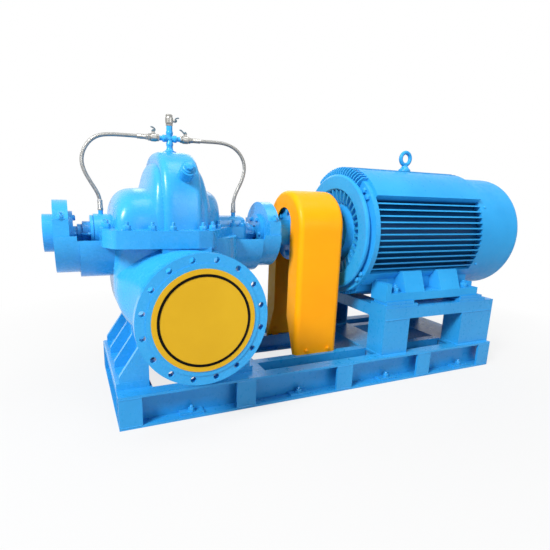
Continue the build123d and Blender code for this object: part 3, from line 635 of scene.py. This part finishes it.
ANCHOR_XS = (-0.798, -0.266, 0.266, 0.798)
ANCHOR_Y = 0.338
PUMP_FOOT = (0.248, 0.210, 0.173)   # off the pump's middle plane, off the shaft line, top of the foot
MOTOR_FOOT_XS = (0.306, 0.800)
MOTOR_FOOT = (0.296, 0.474)         # off the shaft line, top of the foot
GUARD_SCREW_XS = (-0.149, -0.021)
GUARD_SCREW_Z = 0.166


def fasten_feet():
    """Anchor studs, pump foot bolts, motor foot bolts and the guard's screws."""
    lug_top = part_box("skid_anchor_lugs")[1].z
    anchors = [(x, y, lug_top) for x in ANCHOR_XS for y in (-ANCHOR_Y, ANCHOR_Y)]
    stud = stud_with_nut(flats=0.025, height=0.014, proud=0.010, washer=0.003)
    piece("anchor_studs", set_on(stud, anchors, UP, spins(len(anchors), 13)), SKID_BLUE)
    off, out, top = PUMP_FOOT
    pump = [(PUMP_X + side * off, y, top) for side in (-1, 1) for y in (-out, out)]
    head = hex_nut(flats=0.036, height=0.022, washer=0.004)
    piece("pump_foot_bolts", set_on(head, pump, UP, spins(len(pump), 15)), CAST_BLUE)
    out, top = MOTOR_FOOT
    motor = [(x, y, top) for x in MOTOR_FOOT_XS for y in (-out, out)]
    stud = stud_with_nut(flats=0.036, height=0.022, proud=0.014, washer=0.004)
    piece("motor_foot_bolts", set_on(stud, motor, UP, spins(len(motor), 17)), MOTOR_BLUE)
    sheet_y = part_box("guard_cover")[1].y
    screws = [(x, way * sheet_y, GUARD_SCREW_Z) for x in GUARD_SCREW_XS for way in (-1, 1)]
    ways = [(0, -1, 0), (0, 1, 0)] * len(GUARD_SCREW_XS)
    head = hex_nut(flats=0.016, height=0.008, washer=0.002)
    piece("guard_screws", set_on(head, screws, ways, spins(len(screws), 19)), ORANGE)


RIM_BOLTS = (0.3115, 0.122)         # radius and face of the end shield's rim
RIM_PAIRS = (42, 138, 222, 318)     # degrees from +Y, each pair four degrees to both sides
CAP_BOLT_RADIUS = 0.084
COWL_R = 0.322
COWL_SCREW_X = 0.902
EYEBOLT_SEAT_Z = 1.1075


def fasten_motor():
    """Bolts in pairs on the end shield's rim, bearing cap bolts, the eyebolt's seat and cowl screws."""
    radius, face = RIM_BOLTS
    angles = np.radians([middle + step for middle in RIM_PAIRS for step in (-4, 4)])
    head = hex_nut(flats=0.024, height=0.012, washer=0.002)
    rim = set_on(head, round_shaft(radius, angles, face), (-1, 0, 0), spins(len(angles), 21))
    piece("shield_rim_bolts", rim, MOTOR_BLUE)
    cap = [(CAP_BOLT_RADIUS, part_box("motor_bearing_cap")[0].x, -1)]
    head = hex_nut(flats=0.017, height=0.009, washer=0.0015)
    piece("motor_cap_bolts", bolt_rings(head, cap, 6, 23, start_deg=30), MOTOR_BLUE)
    eye_low, eye_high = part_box("motor_eyebolt")
    seat = [(0.034, 0.0), (0.0335, 0.006), (0.030, 0.011), (0.024, 0.016), (0.019, 0.024), (0.015, 0.032)]
    under_eye = [((eye_low.x + eye_high.x) / 2, 0, EYEBOLT_SEAT_Z)]
    piece("eyebolt_seat", set_on(turned(seat, 40), under_eye, UP), MOTOR_BLUE)
    around = ring_points(COWL_R, 6, COWL_SCREW_X, 30)
    dome = turned([(0.009, -0.001), (0.009, 0.002), (0.0065, 0.0045), (0.003, 0.0055)], 16)
    piece("cowl_screws", set_on(dome, around, around - (COWL_SCREW_X, 0, SHAFT_Z)), MOTOR_BLUE)


BOSS_MID = np.array([PUMP_X + 0.014, -0.236, SHAFT_Z + 0.258])
BOSS_TILT = math.radians(64)
BOSS_HEIGHT = 0.042


def plug_hood():
    """Hexagon plug with a collar on the hood's tilted boss."""
    collar = turned([(0.0225, -0.002), (0.0225, 0.006), (0.020, 0.008)])
    plug = joined(collar, set_on(hex_nut(flats=0.030, height=0.017), [(0, 0, 0.007)], UP))
    way = np.array([0, -math.sin(BOSS_TILT), math.cos(BOSS_TILT)])
    piece("hood_plug", set_on(plug, [BOSS_MID + BOSS_HEIGHT * way], way, 0.3), CAST_BLUE)


# Motor front

def turned_copies(shape, angles):
    """Copies turned about the shaft: the shape is drawn with its radius along Z, and an angle of 0 is
    towards +Y."""
    frames = []
    for cosine, sine in zip(np.cos(angles), np.sin(angles)):
        frames.append(own_frame((1, 0, 0), (0, sine, -cosine), (0, cosine, sine), (0, 0, SHAFT_Z)))
    return at_frames(shape, frames)


def shield_ribs():
    """Radial ribs in the dish of the end shield, and the comb of short fins over its top."""
    dish = [(0.129, 0.160), (0.129, 0.2265), (0.092, 0.2265), (0.100, 0.180), (0.114, 0.160)]
    angles = np.arange(36) * TAU / 36
    piece("shield_dish_ribs", turned_copies(plate(dish, 0.0058), angles), MOTOR_BLUE)
    comb = [(0.150, 0.300), (0.150, 0.345), (0.116, 0.345), (0.098, 0.322), (0.096, 0.296)]
    angles = np.radians(np.linspace(56, 124, 19))
    piece("shield_comb", turned_copies(plate(comb, 0.0030), angles), MOTOR_BLUE)


# Coupling

PIN_CIRCLE = 0.108
PIN_FACE = 0.046                    # from the middle of the coupling


def coupling_nuts():
    """Nuts at both ends of the coupling pins."""
    rings = [(PIN_CIRCLE, COUPLING_X + side * PIN_FACE, side) for side in (-1, 1)]
    nuts = bolt_rings(hex_nut(flats=0.026, height=0.012, washer=0.002), rings, 8, 31)
    piece("coupling_pin_nuts", nuts, COUPLING_BLUE, body="rotor")


# Vent valves

VALVE_OFF = 0.046                   # from the cross's middle to the near end of a side valve
TOP_VALVE_OFF = 0.052
HEX_PLACES = [(0.0005, 0, 0), (0.0395, 0, 0)]
STEM_UP = 0.0245                    # lever's underside above the valve's bore
LEVER_LINES = {
    "left": [(-0.008, 0.0020), (0.001, 0.0020), (0.006, 0.0030), (0.0075, 0.0075), (0.005, 0.0125),
             (-0.002, 0.0170), (-0.011, 0.0190)],
    "right": [(-0.008, 0.0020), (0.001, 0.0020), (0.005, 0.0030), (0.009, 0.0065), (0.014, 0.0115),
              (0.019, 0.0150), (0.025, 0.0160)],
    "top": [(-0.008, 0.0020), (0.002, 0.0020), (0.007, 0.0030), (0.0105, 0.0060), (0.012, 0.0105),
            (0.0125, 0.0150), (0.0120, 0.0185)],
}
STRAP_HALF = (0.0060, 0.0048, 0.0024)       # half width, half width of its flats, half thickness
STRAP_WIDTHS = np.array([0.8, 1.15, 1.1, 1.0, 0.95, 1.05, 0.85])


def valve_hexes():
    """Hexagon ends of the three valves: each valve's X runs away from the cross."""
    ends = set_on(hex_nut(flats=0.026, height=0.008), HEX_PLACES, (1, 0, 0), 0.26)
    valves = []
    for side in (-1, 1):
        valves.append(own_frame((side, 0, 0), (0, side, 0), UP, (PUMP_X + side * VALVE_OFF, 0, VENT_Z)))
    valves.append(own_frame(UP, (0, -1, 0), (1, 0, 0), (PUMP_X, 0, VENT_Z + TOP_VALVE_OFF)))
    piece("vent_valve_hexes", at_frames(ends, valves), NICKEL)


def lever_strap(name):
    """Handle of a ball valve: a cast strap carried along a line that leaves the stem level and then
    bends up, a little wider at its eye and its tip, with a nut on the stem."""
    line = np.insert(np.array(LEVER_LINES[name]), 1, 0, axis=1)
    half, flat, thick = STRAP_HALF
    section = np.array([(half, 0), (flat, thick), (-flat, thick),
                        (-half, 0), (-flat, -thick), (flat, -thick)])
    strap = carried(line, (0, 1, 0), section, STRAP_WIDTHS)
    return joined(strap, set_on(hex_nut(flats=0.010, height=0.005), [(0, 0, 0.0042)], UP))


def valve_levers():
    """The three valves' levers, each on its own body and with its stem on its joint."""
    rise = np.array([0, 0, STEM_UP])
    towards_motor = np.array([STEM_UP, 0, 0])
    stems = {
        "left": own_frame((1, 0, 0), (0, 1, 0), UP, joint_at["left_valve"] + rise),
        "right": own_frame((-1, 0, 0), (0, -1, 0), UP, joint_at["right_valve"] + rise),
        "top": own_frame(UP, (0, -1, 0), (1, 0, 0), joint_at["top_valve"] + towards_motor),
    }
    for name, stem in stems.items():
        lever = piece("lever_" + name, at_frames(lever_strap(name), [stem]), HANDLE, body=name + "_lever")
        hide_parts("vent_lever_" + name)


def vent_cross():
    """Cast cross of four collared limbs on a ball, and the foot of the riser on the hood."""
    limb = turned([(0.0128, -0.004), (0.0130, 0.013), (0.0145, 0.017), (0.0155, 0.019), (0.0155, 0.028),
                   (0.0150, 0.030), (0.0105, 0.032), (0.0105, 0.046)], 32)
    ball = turned([(0.0020, -0.0150), (0.0080, -0.0130), (0.0125, -0.0080), (0.0148, 0.0), (0.0125, 0.0080),
                   (0.0080, 0.0130), (0.0020, 0.0150)], 32)
    ways = [(1, 0, 0), (-1, 0, 0), (0, 0, -1), (0, 0, 1)]
    shape = joined(set_on(limb, [VENT_MID] * len(ways), ways), set_on(ball, [VENT_MID], UP))
    cross = piece("vent_cross_body", shape, CAST_BLUE)
    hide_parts("vent_cross")
    foot = turned([(0.024, 0), (0.0235, 0.003), (0.0175, 0.006), (0.0145, 0.012), (0.0128, 0.018)], 32)
    piece("riser_foot", set_on(foot, [(PUMP_X, 0, HOOD_TOP)], UP), CAST_BLUE)


# Hoses

HOSE_LOW = 0.880
HOSE_SPAN = VENT_Z - HOSE_LOW
HOSE_R = 0.008
HOSE_SIDES = 20
FERRULE_TOP_OFF = 0.094             # ends of the ferrules, from the pump's middle plane
FERRULE_LOW_OFF = 0.303
FERRULE_DROP = 0.022                # below the hose's low end

# Points of the two routes: distance from the pump's middle plane, and share of the span's height

LEFT_ROUTE = [(0.116, 1.0), (0.162, 1.0), (0.208, 0.998), (0.252, 0.992), (0.292, 0.971), (0.324, 0.908),
              (0.349, 0.806), (0.363, 0.694), (0.366, 0.585), (0.358, 0.473), (0.342, 0.364),
              (0.324, 0.2585), (0.309, 0.163), (0.303, 0.078), (0.303, 0.0)]
RIGHT_ROUTE = [(0.116, 1.0), (0.160, 1.0), (0.204, 1.005), (0.248, 1.002), (0.289, 0.969), (0.323, 0.898),
               (0.348, 0.789), (0.359, 0.66), (0.354, 0.527), (0.340, 0.401), (0.322, 0.286),
               (0.308, 0.17), (0.303, 0.078), (0.303, 0.0)]


def spline_line(name, points):
    """Points along a smooth NURBS line with the route's points as its control points."""
    data = bpy.data.curves.new(name, "CURVE")
    data.dimensions = "3D"
    data.resolution_u = 16
    spline = data.splines.new("NURBS")
    spline.points.add(len(points) - 1)
    spline.points.foreach_set("co", np.column_stack([points, np.ones(len(points))]).ravel())
    spline.order_u = 3
    spline.use_endpoint_u = True
    holder = bpy.data.objects.new(name, data)
    bpy.context.scene.collection.objects.link(holder)
    line = bpy.data.meshes.new_from_object(holder)
    path = np.empty(len(line.vertices) * 3)
    line.vertices.foreach_get("co", path)
    bpy.data.objects.remove(holder)
    bpy.data.meshes.remove(line)
    return path.reshape(-1, 3)


def lay_map(hose, path):
    """Map of the weave: a face's corners lie at the length walked along the path, in metres, and at the
    share of a turn round the hose; the end fans stay at zero."""
    walk = np.concatenate([[0], np.cumsum(np.linalg.norm(np.diff(path, axis=0), axis=1))])
    row, col = np.divmod(np.arange((len(path) - 1) * HOSE_SIDES), HOSE_SIDES)
    along = np.stack([walk[row], walk[row], walk[row + 1], walk[row + 1]], -1)
    around = np.stack([col, col + 1, col + 1, col], -1) / HOSE_SIDES
    lay = np.stack([along, around], -1).reshape(-1, 2)
    fans = np.zeros((2 * HOSE_SIDES * 3, 2))
    layer = hose.data.uv_layers.new(name=LAY_MAP)
    layer.data.foreach_set("uv", np.concatenate([lay, fans]).astype(np.float32).ravel())


def braided_hose(name, side, route):
    """Tube of circles carried along the hose's line, with a map of its length and turn for the weave."""
    off, share = np.array(route).T
    points = np.column_stack([PUMP_X + side * off, np.zeros(len(off)), HOSE_LOW + HOSE_SPAN * share])
    path = spline_line(name + "_line", points)
    hose = piece("braided_" + name, carried(path, (0, 1, 0), circle(HOSE_R, HOSE_SIDES)), BRAID)
    lay_map(hose, path)
    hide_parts(name)
    return hose, path


def crimped_ferrule():
    """Hose end along +Z: a hexagon union nut and a collar whose radius waves with the pressed rings."""
    nut_height = 0.0098
    ring_pitch = 0.0052
    z = np.linspace(0.0095, 0.044, 29)
    collar = np.column_stack([0.0102 + 0.0007 * np.sin(z * TAU / ring_pitch), z])
    return joined(hex_nut(0.0207, nut_height), turned([*collar, (0.0088, 0.0455)]))


def hoses():
    """The two vent hoses with their fittings."""
    for side, name, route, length in ((-1, "left", LEFT_ROUTE, 0.5047), (1, "right", RIGHT_ROUTE, 0.4967)):
        hose, path = braided_hose("hose_" + name, side, route)
        places = [(PUMP_X + side * FERRULE_TOP_OFF, 0, VENT_Z),
                  (PUMP_X + side * FERRULE_LOW_OFF, 0, HOSE_LOW - FERRULE_DROP)]
        ends = piece("ferrules_" + name, set_on(crimped_ferrule(), places, [(side, 0, 0), UP], 0.2), NICKEL)
        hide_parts("hose_fittings_" + name)


# Terminal box, on the side away from the camera

LID_OVER = 0.006                    # lid's width and height over the box's
LID_T = 0.007
LID_SCREWS = (0.100, 0.086)         # from the lid's middle


def terminal_details():
    """Lid with a soft edge, four screws and a cable gland under the box."""
    low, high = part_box("motor_terminal_box")
    middle = (low + high) / 2
    lid = soft_slab(high.x - low.x + LID_OVER, high.z - low.z + LID_OVER, LID_T, edge=0.012)
    piece("terminal_lid", set_on(lid, [(middle.x, high.y, middle.z)], (0, 1, 0)), MOTOR_BLUE)
    dx, dz = LID_SCREWS
    corners = [(middle.x + x, high.y + LID_T, middle.z + z) for x in (-dx, dx) for z in (-dz, dz)]
    dome = turned([(0.0065, -0.001), (0.0065, 0.0015), (0.0045, 0.0035), (0.002, 0.004)], 16)
    piece("terminal_screws", set_on(dome, corners, (0, 1, 0)), ZINC)
    sleeve = turned([(0.017, 0.012), (0.0185, 0.014), (0.0185, 0.026), (0.012, 0.033)])
    gland = joined(hex_nut(flats=0.040, height=0.012), sleeve)
    piece("terminal_gland", set_on(gland, [(middle.x, middle.y, low.z)], (0, 0, -1)), NICKEL)


# Weld beads

BEAD_PITCH = 0.006
BEAD_SWELL = 0.16
FOOT_BEAD_R = 0.0035
TOP_BEAD_R = 0.0028
PAD_BEAD_R = 0.0022
SKID_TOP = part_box("stand_posts")[0].z
POST_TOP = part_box("stand_posts")[1].z
POST_SPANS = ((0.217, 0.384), (0.769, 1.007))
POST_SIDES = (0.217, 0.384, 0.769)  # the last side stands at the skid's edge, without a bead
STAND_Y = 0.345
POST_SIDE_YS = (0.341, 0.220)
PAD_LEFTS = (-1.101, -0.599, -0.069, 0.449, 0.915)
PAD_WIDTH = 0.092
PAD_Y = 0.369
PAD_ZS = (0.134, 0.011)


def bead(start, end, radius):
    """Fillet weld between two points: a circle whose size swells once per pitch like laid drops, and
    shrinks at both ends."""
    start, end = np.array(start, float), np.array(end, float)
    length = np.linalg.norm(end - start)
    share = np.linspace(0, 1, max(8, int(4 * length / BEAD_PITCH)))
    swell = 1 + BEAD_SWELL * np.abs(np.sin(math.pi * share * length / BEAD_PITCH))
    swell[[0, -1]] = 0.55
    return carried(start + share[:, None] * (end - start), UP, circle(radius, 8), swell)


def weld_beads():
    """Welds along the foot and top of the stand's posts, across the foot of their sides, and along the
    skid's pad plates."""
    beads = []
    inset = 0.004
    for left, right in POST_SPANS:
        for y in (-STAND_Y, STAND_Y):
            for z, radius in ((SKID_TOP, FOOT_BEAD_R), (POST_TOP, TOP_BEAD_R)):
                beads.append(bead((left + inset, y, z), (right - inset, y, z), radius))
    for x in POST_SIDES:
        for side in (-1, 1):
            outer, inner = side * np.array(POST_SIDE_YS)
            beads.append(bead((x, outer, SKID_TOP), (x, inner, SKID_TOP), FOOT_BEAD_R))
    inset = 0.003
    for left in PAD_LEFTS:
        for y in (-PAD_Y, PAD_Y):
            for z in PAD_ZS:
                beads.append(bead((left + inset, y, z), (left + PAD_WIDTH - inset, y, z), PAD_BEAD_R))
    piece("weld_beads", joined(*beads), SKID_BLUE)


# Studio

WHITE = (1, 1, 1, 1)
FLOOR_HALF = 30.0
FLOOR_GREY = (0.56, 0.57, 0.58, 1)
FLOOR_FADE = (0.80, 1.0, 0.9, 2.6)  # glow's share near and far, and the distances where it starts and ends
SKY = (0.93, 0.96, 1.0, 1)
SKY_STRENGTH = 0.17

# Lamps: name, place, aim, width and height, watts, colour
LAMPS = [
    ("key_left", (-6.2, -3.4, 5.6), (-0.2, 0, 0.6), (2.2, 2.2), 930.0, (1.0, 0.99, 0.97)),
    ("fill_front", (1.6, -5.4, 2.2), (0.3, 0, 0.6), (3.0, 2.0), 66.0, (0.95, 0.98, 1.0)),
    ("rim_back", (1.0, 4.2, 3.4), (0, 0, 0.8), (3.0, 1.5), 30.0, (1.0, 1.0, 1.0)),
    ("top_soft", (0.5, -0.9, 4.8), (0.2, 0, 0.4), (3.2, 2.2), 80.0, (1.0, 1.0, 1.0)),
]


def background_rays(r):
    """1 for camera, glossy and transmission rays, which see the white background."""
    rays = r.node("ShaderNodeLightPath").outputs
    seen = r.math("MAXIMUM", rays["Is Camera Ray"], rays["Is Glossy Ray"])
    return r.math("MAXIMUM", seen, rays["Is Transmission Ray"])


def lay_floor():
    """Plain floor that keeps the object's shadow and fades to white round it."""
    r = Recipe(bpy.data.materials.new("floor_white"))
    grey = {"Base Color": FLOOR_GREY, "Roughness": 0.9, "Specular IOR Level": 0.1}
    matt = r.node("ShaderNodeBsdfPrincipled", grey).outputs[0]
    glow = r.node("ShaderNodeEmission", {"Color": WHITE, "Strength": 1.0}).outputs[0]
    away = r.vector("LENGTH", r.node("ShaderNodeTexCoord").outputs["Object"]).outputs["Value"]
    share = r.math("MULTIPLY", background_rays(r), r.spread(away, *FLOOR_FADE))
    blend = r.node("ShaderNodeMixShader", {0: share, 1: matt, 2: glow}).outputs[0]
    r.node("ShaderNodeOutputMaterial", {"Surface": blend})
    mesh = bpy.data.meshes.new("floor")
    corners = [(FLOOR_HALF * x, FLOOR_HALF * y, 0) for x, y in ((-1, -1), (1, -1), (1, 1), (-1, 1))]
    mesh.from_pydata(corners, [], [(0, 1, 2, 3)])
    mesh.materials.append(r.owner)
    floor = bpy.data.objects.new("floor", mesh)
    bpy.context.scene.collection.objects.link(floor)


def set_sky():
    """Dim sky as light, white to the rays that see the background."""
    r = Recipe(bpy.data.worlds.new("studio_world"))
    dim = r.node("ShaderNodeBackground", {"Color": SKY, "Strength": SKY_STRENGTH}).outputs[0]
    white = r.node("ShaderNodeBackground", {"Color": WHITE, "Strength": 1.0}).outputs[0]
    pick = r.node("ShaderNodeMixShader", {0: background_rays(r), 1: dim, 2: white}).outputs[0]
    r.node("ShaderNodeOutputWorld", {"Surface": pick})
    bpy.context.scene.world = r.owner


def hang_lamps():
    """Soft rectangular lamps, each turned to its aim."""
    for name, place, aim, size, watts, colour in LAMPS:
        data = bpy.data.lights.new(name, "AREA")
        data.shape = "RECTANGLE"
        data.size, data.size_y = size
        data.energy = watts
        data.color = colour
        lamp = bpy.data.objects.new(name, data)
        lamp.location = place
        lamp.rotation_euler = (Vector(aim) - Vector(place)).to_track_quat("-Z", "Y").to_euler()
        bpy.context.scene.collection.objects.link(lamp)


place_camera()
dress_nodes()
hoses()
fasten_split_flange()
fasten_bearings()
fasten_glands()
fasten_feet()
fasten_motor()
plug_hood()
shield_ribs()
coupling_nuts()
valve_hexes()
valve_levers()
vent_cross()
terminal_details()
weld_beads()
lay_floor()
set_sky()
hang_lamps()
bpy.context.scene.view_settings.view_transform = "Standard"
